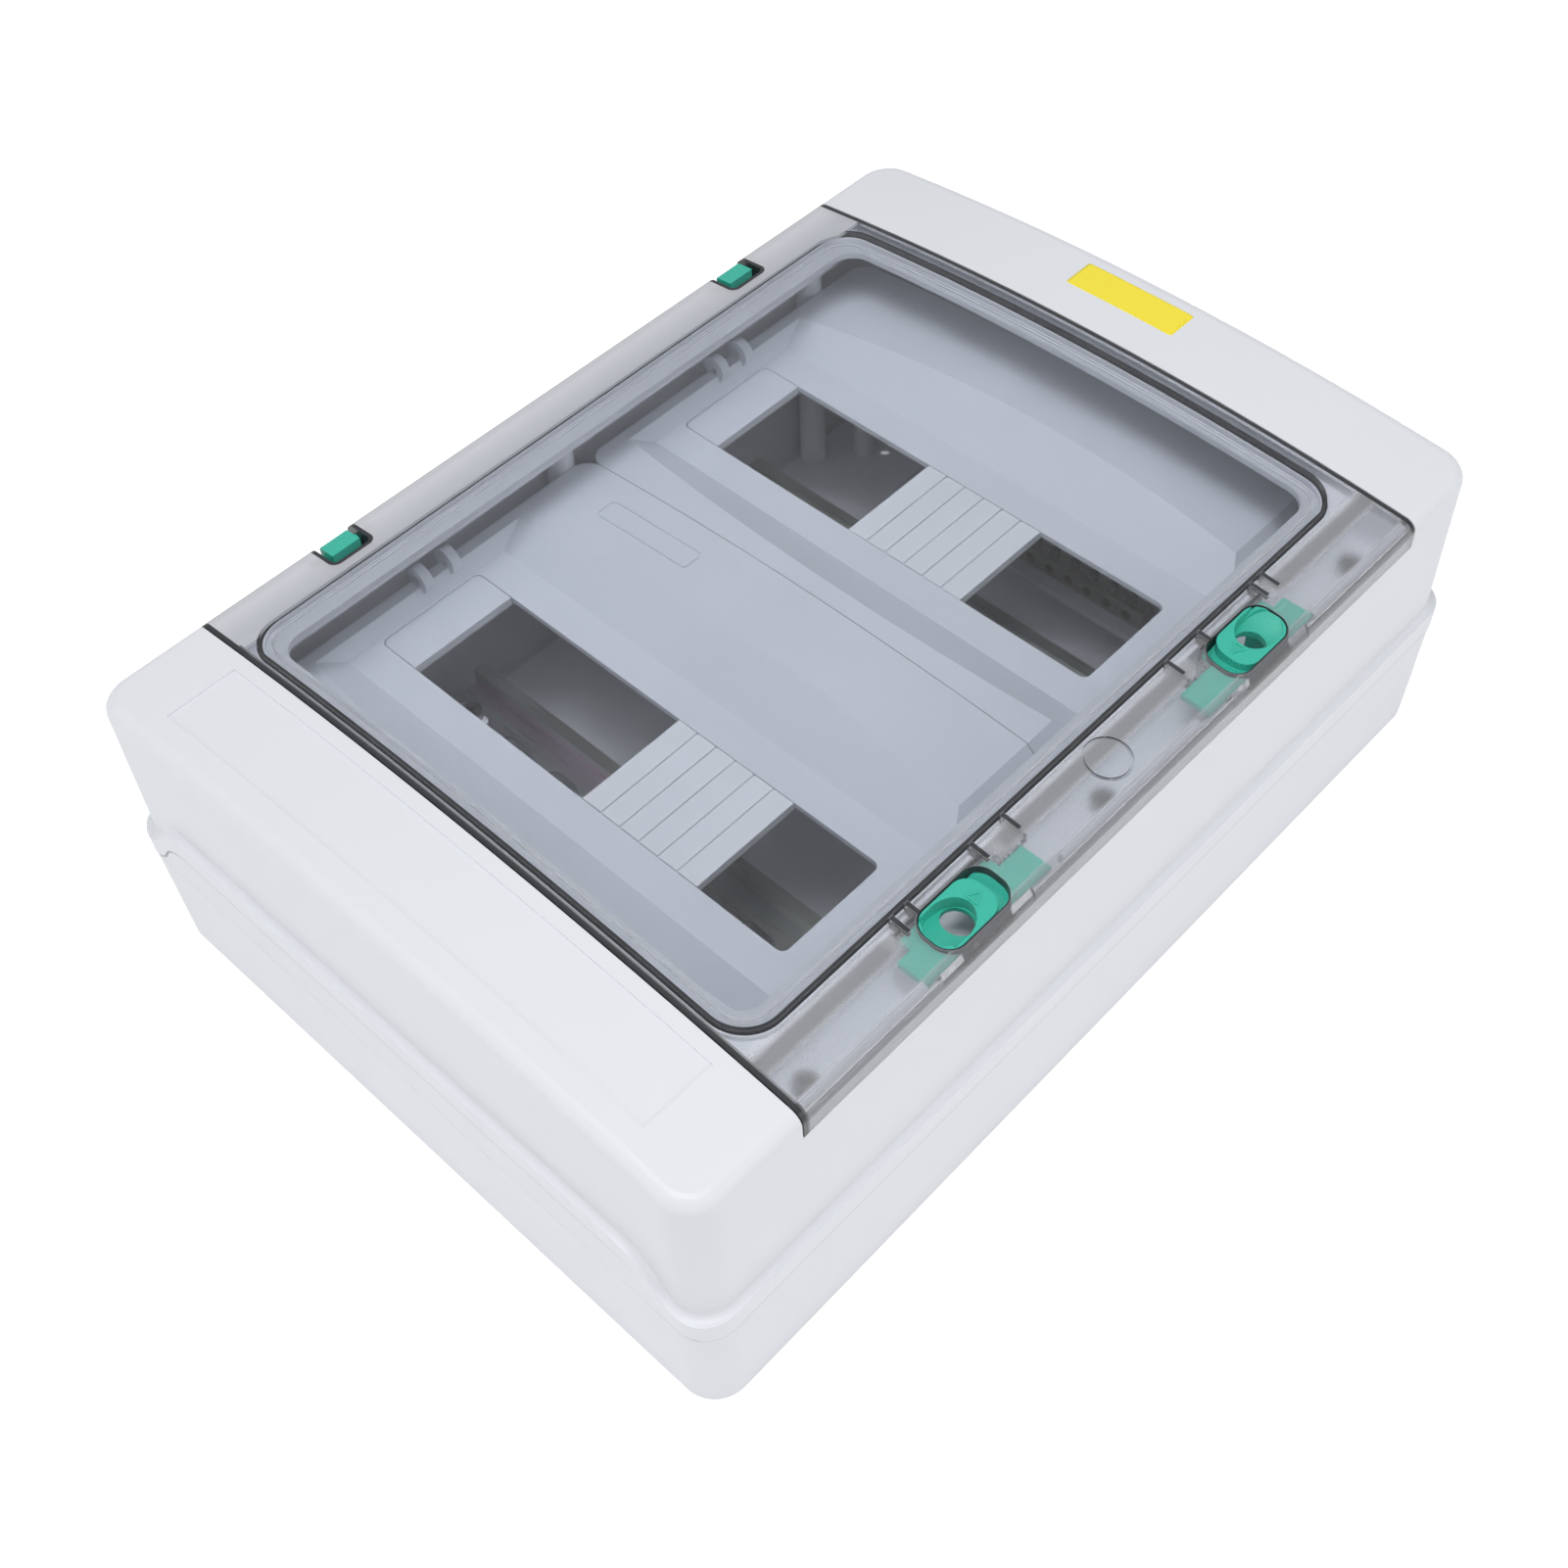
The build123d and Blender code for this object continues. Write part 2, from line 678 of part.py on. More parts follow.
# Latches
def arrow(key, tip):
    """Outlined triangle that points to the middle."""
    triangles = []
    for shrink in (0, arrow_line):
        a = latch_y(key, tip - 2 * shrink)
        b = latch_y(key, tip - arrow_size + shrink)
        half = arrow_size / 2 - 1.5 * shrink
        outline = Polyline((latch_x, a), (latch_x + half, b), (latch_x - half, b), close=True)
        triangles.append(Pos(0, 0, slider_top) * extrude(make_face(outline), amount=crown_z - slider_top))
    return triangles[0] - triangles[1]


def make_knob(key):
    """Thumb piece that stands up through the door, with its scooped bowl."""
    half_x = latch_opening_width / 2 - fit
    outer = -latch_opening_length / 2 + fit
    inner = latch_opening_length / 2 - fit - latch_travel
    a, b = sorted((latch_y(key, outer), latch_y(key, inner)))
    knob = plate(latch_x - half_x, latch_x + half_x, a, b, slider_bottom, crown_z + 1, latch_opening_round - fit)
    knob &= envelope(fit, base_height)
    centre = outer + bowl_place
    low = slider_bottom + bowl_floor
    bowl = post(latch_x, latch_y(key, centre), low, crown_z, 2 * bowl_radius)
    bowl += latch_block(key, bowl_radius, outer - 1, centre, low, crown_z)
    sweep_y = latch_y(key, centre + bowl_radius)
    sweep = Pos(latch_x, sweep_y, low + bowl_sweep) * Rot(0, 90, 0) * Cylinder(bowl_sweep, slider_width)
    knob -= bowl & sweep
    slot = post(latch_x, latch_y(key, centre), slider_bottom, crown_z, 2 * (bowl_radius - bowl_rim))
    slot &= latch_block(key, bowl_radius, centre + bowl_radius - bowl_gap, inner, slider_bottom, crown_z)
    mark = arrow(key, inner - arrow_margin)
    return knob + (mark & under_arch(fit - arrow_relief, 0, half_width, a, b, 0)), slot


def make_latch(key):
    wide = slider_width / 2
    y0, y1 = sorted((latch_y(key, -slider_outer), latch_y(key, slider_inner)))
    body = block(latch_x - wide + slider_step, latch_x + wide, y0, y1, slider_bottom, slider_top)
    step = spring_stops[key] - spring_length
    y0, y1 = sorted((latch_y(key, -slider_wide_outer), latch_y(key, step)))
    body += block(latch_x - wide, latch_x, y0, y1, slider_bottom, slider_top)
    inner = latch_opening_length / 2 - fit - latch_travel + step_lip_gap
    lip = latch_opening_width / 2 - fit
    a, b = sorted((latch_y(key, -inner), latch_y(key, inner)))
    rim = plate(latch_x - lip, latch_x + lip, a, b, slider_bottom, slider_top + step_lip, latch_opening_round)
    body += rim & under_arch(door_thickness + fit, 0, half_width, a, b, base_height)
    knob, slot = make_knob(key)
    body = body + knob - slot
    body -= Pos(0, 0, -slider_thickness) * slot
    body += latch_block(key, hook_width / 2, leg_place, leg_place + hook_thickness, hook_low, slider_bottom)
    return body + latch_block(key, hook_width / 2, leg_place - hook_reach, leg_place, hook_low,
                              hook_low + hook_nose_height)


def make_spring(key):
    """Coil spring between a latch and the stop under the door, in straight runs."""
    length = spring_length - spring_wire - fit
    count = spring_turns * spring_sides
    radius = spring_diameter / 2
    points = []
    for k in range(count + 1):
        angle = 2 * pi * k / spring_sides
        points.append((radius * cos(angle), length * (k / count - 0.5), radius * sin(angle)))
    path = Polyline(*points)
    section = Plane(origin=points[0], z_dir=path % 0) * RegularPolygon(spring_wire / 2, 6)
    coil = sweep(section, path=path, transition=Transition.RIGHT)
    y = latch_y(key, spring_stops[key] - spring_length / 2)
    return Pos(spring_x, y, slider_top - slider_thickness / 2) * coil


# Hinge clips
def make_hinge_clip(key):
    y = hinge_centres[key]
    half = clip_width / 2
    body = block(-half_width + wall + fit, clip_reach - half_width, y - half, y + half, hinge_channel_floor, crown_z)
    body &= envelope(fit, base_height)
    reach = notch_width / 2 + pin_length - fit
    return body + rod_y(hinge_x, hinge_z, y - reach, y + reach, pin_diameter / 2)


# Inner panels
def tray(key, sink, left):
    """Sunken field round a row's slot."""
    y = row_centres[key]
    deep = crown_z - tray_floor
    right = panel_right + deep
    low_z = tray_floor - sink
    spread = tray_slope * deep
    low_left, high_left = left, left - tray_end_slope * deep
    low = Pos((low_left + right) / 2, y, low_z) * Rectangle(right - low_left, 2 * tray_half_height)
    high = Pos((high_left + right) / 2, y, low_z + deep) * Rectangle(
        right - high_left, 2 * (tray_half_height + spread)
    )
    return loft([low, high], ruled=True)


def plateau_end(sink):
    """What is cut away beyond the plateau's slope on the latch side."""
    deep = crown_z - tray_floor
    low_z = tray_floor - sink
    far = panel_right + deep
    outline = [(plateau_right, low_z), (far, low_z), (far, low_z + deep), (plateau_right - deep, low_z + deep)]
    return slab_y(outline, -box_length / 2, box_length / 2)


def make_panel(key):
    y0, y1 = panel_spans[key]
    body = plate(panel_left, panel_right, y0, y1, seat_z, crown_z, panel_round)
    body &= under_arch(panel_drop, -box_width, box_width, y0 - 1, y1 + 1, 0)
    body = body - tray(key, 0, tray_left) - plateau_end(0)
    t = panel_thickness
    void = plate(panel_left + t, panel_right - t, y0 + t, y1 - t, seat_z - t, crown_z, panel_round - t)
    void &= under_arch(panel_drop + t, -box_width, box_width, y0, y1, 0)
    body -= void - tray(key, t, tray_left - t) - plateau_end(t)
    y = row_centres[key]
    half = slot_height / 2
    body -= plate(row_left, slot_right, y - half, y + half, seat_z - 1, tray_floor + 1, slot_round)
    x = panel_left + ear_inset
    z = arch_z(x, panel_drop) + ear_lift
    for side in (-1, 1):
        middle = y + ear_offset + side * ear_spacing / 2
        a, b = middle - ear_width / 2, middle + ear_width / 2
        body += rod_y(x, z, a, b, ear_radius)
        body -= rod_y(x, z, a - 1, b + 1, ear_hole / 2)
    if key == "lower":
        body -= label_frame()
    return body


def label_frame():
    """Fine outlined frame on the plateau between the rows."""
    left = panel_left + frame_side
    top = panel_split - frame_split
    outer = plate(left, left + frame_width, top - frame_height, top, seat_z, crown_z, frame_round)
    line = frame_line
    outer -= plate(left + line, left + frame_width - line, top - frame_height + line, top - line, seat_z - 1,
                   crown_z + 1, frame_round - line)
    return outer - under_arch(panel_drop + frame_depth, -box_width, box_width, panel_bottom, panel_top, 0)


# Blanks in the device slots
def make_end_blank(key):
    y = row_centres[key]
    half = slot_height / 2 - fit
    right = row_left + end_blank_width
    body = plate(row_left + fit, right, y - half, y + half, seat_z, tray_floor, slot_round)
    body += block(right - slot_round, right, y - half, y + half, seat_z, tray_floor)
    grip = slot_height / 2 + blank_hook
    return body + block(row_left + slot_round, right, y - grip, y + grip, seat_z - blank_hook_thickness, seat_z)


def make_strip(key):
    y = row_centres[key]
    half = slot_height / 2 - fit
    left = row_left + end_blank_width + first_opening[key]
    width = strip_modules * module
    right = left + width
    body = block(left, right, y - half, y + half, seat_z, tray_floor)
    grip = slot_height / 2 + blank_hook
    body += block(left, right, y - grip, y + grip, seat_z - blank_hook_thickness, seat_z)
    for k in range(1, strip_grooves):
        x = left + k * width / strip_grooves
        body -= block(x - strip_groove / 2, x + strip_groove / 2, y - slot_height, y + slot_height,
                      tray_floor - strip_groove, tray_floor + 1)
    return body


# Mounting rails
def make_rail(key):
    y = row_centres[key]
    edge = rail_width / 2
    neck = edge - rail_lip_width
    t, f, b = rail_sheet, rail_face, rail_base
    half = [(edge, f - t), (edge, f), (neck, f), (neck, b + t)]
    back = [(neck + t, b), (neck + t, f - t)]
    outline = [(y + v, z) for v, z in half] + [(y - v, z) for v, z in reversed(half)]
    outline += [(y - v, z) for v, z in reversed(back)] + [(y + v, z) for v, z in back]
    body = slab_x(outline, rail_centre_x - rail_length / 2, rail_centre_x + rail_length / 2)
    count = int(rail_post_pitch / rail_slot_pitch) + 1
    for k in range(count):
        x = rail_centre_x - rail_post_pitch / 2 + k * rail_slot_pitch
        half_x, half_y = rail_slot_length / 2, rail_slot_width / 2
        body -= plate(x - half_x, x + half_x, y - half_y, y + half_y, b - 1, b + t + 1, half_y * 0.99)
    return body


def make_rail_screws():
    screws = []
    for x, y in rail_posts():
        seat = rail_base + rail_sheet
        body = post(x, y, seat - rail_screw_length, seat, rail_screw_diameter)
        body += post(x, y, seat, seat + rail_screw_head_height, rail_screw_head)
        cross = Box(cross_size, cross_width, 2 * cross_depth) + Box(cross_width, cross_size, 2 * cross_depth)
        screws.append(body - Pos(x, y, seat + rail_screw_head_height) * cross)
    return Compound(children=screws)


# Terminal bars
def make_carrier():
    half_x, half_y = carrier_length / 2, carrier_width / 2
    return plate(-half_x, half_x, bar_centre_y - half_y, bar_centre_y + half_y, bar_seat,
                 bar_seat + carrier_thickness, carrier_round)


def bar_places():
    """Places of the screws along a bar."""
    return [(k - (bar_screws - 1) / 2) * bar_screw_pitch for k in range(bar_screws)]


def make_bar(side):
    y = bar_centre_y + side * bar_pitch_y / 2
    low = bar_seat + carrier_thickness
    body = block(-bar_length / 2, bar_length / 2, y - bar_width / 2, y + bar_width / 2, low, low + bar_height)
    for x in bar_places():
        body -= rod_y(x, low + bar_hole_height, y - bar_width, y + bar_width, bar_hole / 2)
    return body


def make_bar_screws():
    screws = []
    top = bar_seat + carrier_thickness + bar_height
    for side in (-1, 1):
        for x in bar_places():
            y = bar_centre_y + side * bar_pitch_y / 2
            body = post(x, y, top, top + bar_screw_height, bar_screw_diameter)
            slot = Box(bar_screw_diameter + 1, cross_width, cross_depth)
            screws.append(body - Pos(x, y, top + bar_screw_height) * slot)
    return Compound(children=screws)


nodes = {
    "base_box": make_base(),
    "joint_seal": make_joint_seal(),
    "front_cover": make_cover(),
    "door_seal": make_door_seal(),
    "cover_screws": make_cover_screws(),
    "door": make_door(),
    "terminal_carrier": make_carrier(),
    "neutral_bar": make_bar(-1),
    "earth_bar": make_bar(1),
    "terminal_screws": make_bar_screws(),
    "rail_screws": make_rail_screws(),
}
for key in row_centres:
    nodes["inner_panel_" + key] = make_panel(key)
    nodes["end_blank_" + key] = make_end_blank(key)
    nodes["blanking_strip_" + key] = make_strip(key)
    nodes["mounting_rail_" + key] = make_rail(key)
    nodes["hinge_clip_" + key] = make_hinge_clip(key)
    nodes["latch_" + key] = make_latch(key)
    nodes["latch_spring_" + key] = make_spring(key)

os.makedirs("parts", exist_ok=True)
for name, shape in nodes.items():
    export_step(shape, f"parts/{name}.step")
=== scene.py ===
import bmesh
import bpy
import math
import numpy as np
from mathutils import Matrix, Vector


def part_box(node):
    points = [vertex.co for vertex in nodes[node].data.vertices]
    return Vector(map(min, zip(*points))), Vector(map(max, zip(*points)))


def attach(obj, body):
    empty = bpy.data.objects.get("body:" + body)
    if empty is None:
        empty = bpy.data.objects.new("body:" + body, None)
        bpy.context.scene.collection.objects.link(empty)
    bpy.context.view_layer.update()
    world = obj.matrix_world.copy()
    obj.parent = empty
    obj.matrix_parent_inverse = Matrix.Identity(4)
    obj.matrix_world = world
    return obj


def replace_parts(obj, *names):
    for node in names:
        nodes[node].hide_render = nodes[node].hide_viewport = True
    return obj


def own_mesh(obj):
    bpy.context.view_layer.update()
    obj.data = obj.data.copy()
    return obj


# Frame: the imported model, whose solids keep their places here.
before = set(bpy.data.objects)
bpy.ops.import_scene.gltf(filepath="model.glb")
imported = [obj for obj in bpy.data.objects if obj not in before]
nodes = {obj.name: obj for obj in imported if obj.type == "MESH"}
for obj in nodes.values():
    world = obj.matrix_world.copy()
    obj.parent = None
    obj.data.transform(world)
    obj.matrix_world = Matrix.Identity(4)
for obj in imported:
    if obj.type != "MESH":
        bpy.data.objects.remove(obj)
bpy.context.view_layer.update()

# Camera: a raised three-quarter view over the bottom end and the latch side,
# through a normal lens. Its place is fitted to the corners of the box.
lens = bpy.data.cameras.new("camera")
lens.lens = 45.73
lens.sensor_width = 36.0
camera = bpy.data.objects.new("camera", lens)
camera.location = (0.33014, -0.33763, 0.61501)
camera.rotation_euler = [math.radians(angle) for angle in (38.094, 1.899, 43.344)]
bpy.context.scene.collection.objects.link(camera)
bpy.context.scene.camera = camera

# Backdrop: one plain white sheet under the box. It lights the box as white paper
# does, and only looks brighter than that to the camera, in gloss and through glass.


class Maths:
    """A shader socket with Python's operators, each of which adds the node that it stands for."""

    def __init__(self, tree, socket=None):
        self.tree = tree
        self.socket = socket

    def add(self, kind, settings=None, output=0, **values):
        """Adds a node of this kind, with its settings, then the values or links of its sockets."""
        made = self.tree.nodes.new(kind)
        for name, value in (settings or {}).items():
            setattr(made, name, value)
        for name, value in values.items():
            key = int(name[1:]) if name[1:].isdigit() else name.replace("_", " ")
            if isinstance(value, Maths):
                self.tree.links.new(value.socket, made.inputs[key])
            else:
                made.inputs[key].default_value = value
        return Maths(self.tree, made.outputs[output])

    def maths(self, operation, *values):
        sockets = {f"_{k}": value for k, value in enumerate(values)}
        return self.add("ShaderNodeMath", {"operation": operation}, **sockets)

    def __add__(self, other):
        return self.maths("ADD", self, other)

    __radd__ = __add__

    def __sub__(self, other):
        return self.maths("SUBTRACT", self, other)

    def __rsub__(self, other):
        return self.maths("SUBTRACT", other, self)

    def __mul__(self, other):
        return self.maths("MULTIPLY", self, other)

    __rmul__ = __mul__

    def __abs__(self):
        return self.maths("ABSOLUTE", self)

    def __pow__(self, power):
        return self.maths("POWER", self, power)

    def above(self, other):
        """The larger of the two."""
        return self.maths("MAXIMUM", self, other)

    def below(self, other):
        """The smaller of the two."""
        return self.maths("MINIMUM", self, other)

    def step(self, low, high):
        """0 at low and 1 at high, with a smooth change between them."""
        return self.add("ShaderNodeMapRange", {"interpolation_type": "SMOOTHSTEP"},
                        Value=self, From_Min=low, From_Max=high)

    def between(self, low, high, soft):
        """1 between low and high, with soft edges."""
        return self.step(low - soft, low + soft) * (1 - self.step(high - soft, high + soft))

    def blend(self, first, second):
        """Colour that goes from first to second as this value goes from 0 to 1."""
        values = {"_0": self, "_6": first, "_7": second}
        return self.add("ShaderNodeMix", {"data_type": "RGBA"}, output=2, **values)

    def object_place(self):
        """Place on the piece, in metres in the shared frame."""
        return self.add("ShaderNodeTexCoord", output=3)

    def part(self, axis):
        """One of a vector's three numbers."""
        return self.add("ShaderNodeSeparateXYZ", output=axis, Vector=self)

    def noise(self, scale, detail, **sockets):
        """Noise at this place."""
        return self.add("ShaderNodeTexNoise", Vector=self, Scale=scale, Detail=detail, **sockets)

    def stretched(self, scale):
        """This place, scaled along each axis."""
        return self.add("ShaderNodeMapping", Vector=self, Scale=scale)

    def bump(self, distance):
        """Normal that this height gives."""
        return self.add("ShaderNodeBump", Height=self, Strength=1.0, Distance=distance)

    def feeds(self, shader, name):
        self.tree.links.new(self.socket, shader.inputs[name])


def new_material(name, colour, roughness, **sockets):
    """A Principled material, with its constants on its own sockets."""
    material = bpy.data.materials.new(name)
    material.use_nodes = True
    shader = material.node_tree.nodes["Principled BSDF"]
    shader.inputs["Base Color"].default_value = (*colour, 1.0)
    shader.inputs["Roughness"].default_value = roughness
    for key, value in sockets.items():
        shader.inputs[key.replace("_", " ")].default_value = value
    return material, shader


floor_reach = 3.0
corners = [(x * floor_reach, y * floor_reach, 0) for x, y in ((-1, -1), (1, -1), (1, 1), (-1, 1))]
mesh = bpy.data.meshes.new("floor")
mesh.from_pydata(corners, [], [(0, 1, 2, 3)])
floor = bpy.data.objects.new("floor", mesh)
bpy.context.scene.collection.objects.link(floor)
floor_white, shader = new_material("floor_white", (0.93, 0.935, 0.94), 0.9, Specular_IOR_Level=0.1)
shader.inputs["Emission Strength"].default_value = 1.0
maths = Maths(floor_white.node_tree)
camera_ray, glossy_ray, transmission_ray = (
    maths.add("ShaderNodeLightPath", output=k) for k in (0, 3, 6))
seen = (camera_ray + glossy_ray + transmission_ray).below(1.0)
seen.blend((0.0, 0.0, 0.0, 1.0), (0.40, 0.40, 0.40, 1.0)).feeds(shader, "Emission Color")
mesh.materials.append(floor_white)

# Studio light: an even white surround that the camera sees as pure white, a soft
# panel overhead, and two weaker ones low on the near sides.
world = bpy.data.worlds.new("studio")
bpy.context.scene.world = world
world.use_nodes = True
tree = world.node_tree
maths = Maths(tree)
surround = tree.nodes["Background"]
surround.inputs["Color"].default_value = (0.985, 0.99, 1.0, 1.0)
surround.inputs["Strength"].default_value = 0.50
backdrop = tree.nodes.new("ShaderNodeBackground")
backdrop.inputs["Color"].default_value = (1.0, 1.0, 1.0, 1.0)
mix = tree.nodes.new("ShaderNodeMixShader")
tree.links.new(maths.add("ShaderNodeLightPath").socket, mix.inputs[0])
tree.links.new(surround.outputs[0], mix.inputs[1])
tree.links.new(backdrop.outputs[0], mix.inputs[2])
tree.links.new(mix.outputs[0], tree.nodes["World Output"].inputs["Surface"])


def soft_light(name, place, size, power, aim=(0.0, 0.0, 0.08)):
    """A square studio panel that faces a point."""
    lamp = bpy.data.lights.new(name, "AREA")
    lamp.size = size
    lamp.energy = power
    holder = bpy.data.objects.new(name, lamp)
    holder.location = place
    x, y, z = np.subtract(aim, place)
    holder.rotation_euler = (math.atan2(math.hypot(x, y), -z), 0.0, math.atan2(-x, y))
    bpy.context.scene.collection.objects.link(holder)


soft_light("lamp_over", (0.18, -0.32, 1.75), 0.6, 12.0)
soft_light("lamp_latch_side", (1.5, 0.2, 0.7), 0.8, 3.7)
soft_light("lamp_bottom_end", (-0.3, -1.5, 0.7), 0.8, 2.8)

# Base and front cover: two light grey mouldings, finely eroded outside, that meet
# in a band. The rim of the cover's window, inside the door's seal, is painted darker
# as shade. The cover below that rim and the inside of the base are painted lighter
# as light, and a painted shadow lies in the joint under the band.
window_middle = (-0.00485, 0.0024)
window_corner = 0.014
joint_bend = 0.0182237     # radius of the arcs by which the joint climbs at each end
joint_low = 0.0595         # height of the joint line along the sides
climb_top = 0.106          # each climb lies between these places across the box
climb_foot = 0.138
climb_half = 0.016


def rounded_distance(x, y, straight, corner):
    """Distance out of a rounded rectangle: the length of what lies past its straight parts, less
    its corner radius."""
    past_x = (x - straight[0]).above(0.0)
    past_y = (y - straight[1]).above(0.0)
    return (past_x * past_x + past_y * past_y) ** 0.5 - corner


def past_outline(place, middle, half, corner):
    """Distance out of a rounded rectangle of this middle and these half sizes."""
    x, y = (abs(place.part(k) - middle[k]) for k in range(2))
    return rounded_distance(x, y, (half[0] - corner, half[1] - corner), corner)


def joint_line(place):
    """1 in a hair line under the cover's band: level along the sides, and two equal arcs up at
    each end, each the square root of its radius squared less the way along it squared."""
    across, z = abs(place.part(0)), place.part(2)
    past_top = (across - climb_top).above(0.0).below(climb_half)
    before_foot = (climb_foot - across).above(0.0).below(climb_half)
    upper_arc = (joint_bend**2 - past_top * past_top) ** 0.5
    lower_arc = (joint_bend**2 - before_foot * before_foot) ** 0.5
    return (z - (upper_arc - lower_arc + joint_low)).between(-0.0012, 0.0004, 0.0001)


def moulded(name, colour, shade, roughness, grain=2600.0, relief=0.00002, inside=None, joint_shadow=None):
    """Moulded plastic: a faint drift between two shades, a fine eroded grain and an uneven sheen.
    inside gives painted light and shade within an outline, and seam the colour of a painted shadow
    along the joint line."""
    material, shader = new_material(name, colour, roughness)
    maths = Maths(material.node_tree)
    place = maths.object_place()
    drift = place.noise(9.0, 2.0)
    fine = place.noise(grain, 3.0, Roughness=0.6)
    tone = drift.step(0.3, 0.7).blend((*colour, 1.0), (*shade, 1.0))
    # Within the outline, painted tones stand in for light and shade: one on the rim, another below
    # it.
    if inside:
        height = place.part(2)
        outline = past_outline(place, inside["middle"], inside["half"], window_corner)
        within = (1 - outline.step(-0.0006, 0.0)) * height.step(0.0008, 0.0012)
        rim = height.step(inside["rim_from"] - 0.001, inside["rim_from"])
        shown = rim.blend((*inside["painted_deep_tone"], 1.0), (*inside["painted_rim_tone"], 1.0))
        tone = within.blend(tone, shown)
    # The joint line is painted dark, as the shadow that the cover's band casts on the base.
    if joint_shadow:
        tone = joint_line(place).blend(tone, (*joint_shadow, 1.0))
    tone.feeds(shader, "Base Color")
    sheen = place.noise(60.0, 2.0)
    (sheen * 0.08 + fine * 0.06 + (roughness - 0.07)).feeds(shader, "Roughness")
    fine.bump(relief).feeds(shader, "Normal")
    return material


def dress(material, *names):
    """Gives carried-over nodes their material."""
    for name in names:
        nodes[name].data.materials.clear()
        nodes[name].data.materials.append(material)


# Painted tones: in the window the cover's rim is painted darker as shade and the part below it
# lighter as light; the base's inside is painted lighter as light.
cover_inside = {"middle": window_middle, "half": (0.1161, 0.14795), "rim_from": 0.1195,
                "painted_rim_tone": (0.565, 0.58, 0.615), "painted_deep_tone": (0.90, 0.91, 0.94)}
base_inside = {"middle": (0.0, 0.0), "half": (0.1365, 0.1935), "rim_from": 0.05,
               "painted_rim_tone": (0.93, 0.94, 0.97), "painted_deep_tone": (0.93, 0.94, 0.97)}
housing_plastic = moulded("housing_plastic", (0.768, 0.785, 0.823), (0.780, 0.795, 0.831), 0.42,
                          inside=cover_inside)
# The base carries a painted shadow in a hair line under the cover's band.
base_plastic = moulded("base_plastic", (0.765, 0.775, 0.812), (0.777, 0.786, 0.820), 0.44,
                       inside=base_inside, joint_shadow=(0.38, 0.39, 0.42))
dress(housing_plastic, "front_cover")
dress(base_plastic, "base_box")

# Mounting rails: top-hat rails of pressed steel strip, zinc plated and passivated,
# which leaves green and pink films. Each is screwed to posts in the base.
rail_zinc, shader = new_material("rail_zinc", (0.6, 0.6, 0.55), 0.3, Metallic=1.0)
maths = Maths(rail_zinc.node_tree)
place = maths.object_place()
film = place.stretched((6.0, 90.0, 260.0)).noise(1.0, 3.0)
rolled = place.stretched((40.0, 2600.0, 2600.0)).noise(1.0, 2.0)
green_film = film.step(0.40, 0.58).blend((0.66, 0.66, 0.61, 1.0), (0.60, 0.66, 0.64, 1.0))
pink_film = film.step(0.52, 0.70).blend((0.60, 0.60, 0.62, 1.0), (0.68, 0.57, 0.63, 1.0))
film.step(0.50, 0.66).blend(green_film, pink_film).feeds(shader, "Base Color")
(rolled * 0.22 + 0.2).feeds(shader, "Roughness")
rolled.bump(0.00001).feeds(shader, "Normal")
dress(rail_zinc, "mounting_rail_lower", "mounting_rail_upper")

# Terminal bars: extruded brass with a tin plating, which shows the draw lines along
# the bar. Both sit in a plastic carrier at the top end, and screws clamp their wires.


def turned_metal(name, colour, roughness, streak):
    """Bright metal with fine drawn streaks in its sheen and small shifts of tone."""
    material, shader = new_material(name, colour, roughness, Metallic=1.0)
    maths = Maths(material.node_tree)
    lines = maths.object_place().stretched(streak).noise(1.0, 3.0)
    dark = tuple(0.8 * part for part in colour)
    lines.step(0.25, 0.75).blend((*dark, 1.0), (*colour, 1.0)).feeds(shader, "Base Color")
    (lines * 0.25 + (roughness - 0.12)).feeds(shader, "Roughness")
    return material


bar_tinned = turned_metal("bar_tinned", (0.50, 0.485, 0.43), 0.36, (60.0, 1500.0, 1500.0))
dress(bar_tinned, "neutral_bar", "earth_bar")

# Screws: zinc plated steel with a pressed cross or slot. They hold the rails, the
# wires in the bars, and the cover, which has three in each of its side channels.
screw_zinc = turned_metal("screw_zinc", (0.42, 0.42, 0.41), 0.36, (900.0, 900.0, 300.0))
dress(screw_zinc, "cover_screws", "rail_screws", "terminal_screws")

# Inner panels, blanks and terminal carrier: the same plastic as the cover, smoother
# and a shade cooler. The blanks snap into the slots, and ribbed strips break to length.
insert_plastic = moulded("insert_plastic", (0.66, 0.683, 0.73), (0.672, 0.696, 0.74), 0.46,
                         1900.0, 0.000012)
dress(insert_plastic, "inner_panel_lower", "inner_panel_upper", "end_blank_lower",
      "end_blank_upper", "terminal_carrier")
strip_plastic = moulded("strip_plastic", (0.75, 0.77, 0.80), (0.735, 0.76, 0.79), 0.44,
                        1900.0, 0.000012)
dress(strip_plastic, "blanking_strip_lower", "blanking_strip_upper")

# Joint seal and door seal: black foamed cords with a fine-pored skin. The door seal
# lies in a channel with two light walls round the window, and a clear rib under the
# door presses on it. That rib is painted near black, as painted shade.
seal_foam, shader = new_material("seal_foam", (0.010, 0.010, 0.012), 0.7, Specular_IOR_Level=0.25)
maths = Maths(seal_foam.node_tree)
pores = maths.add("ShaderNodeTexVoronoi", Vector=maths.object_place(), Scale=2600.0)
skin = pores.step(0.1, 0.5).blend((0.004, 0.004, 0.005, 1.0), (0.014, 0.014, 0.016, 1.0))
skin.feeds(shader, "Base Color")
pores.bump(0.00008).feeds(shader, "Normal")
dress(seal_foam, "joint_seal", "door_seal")

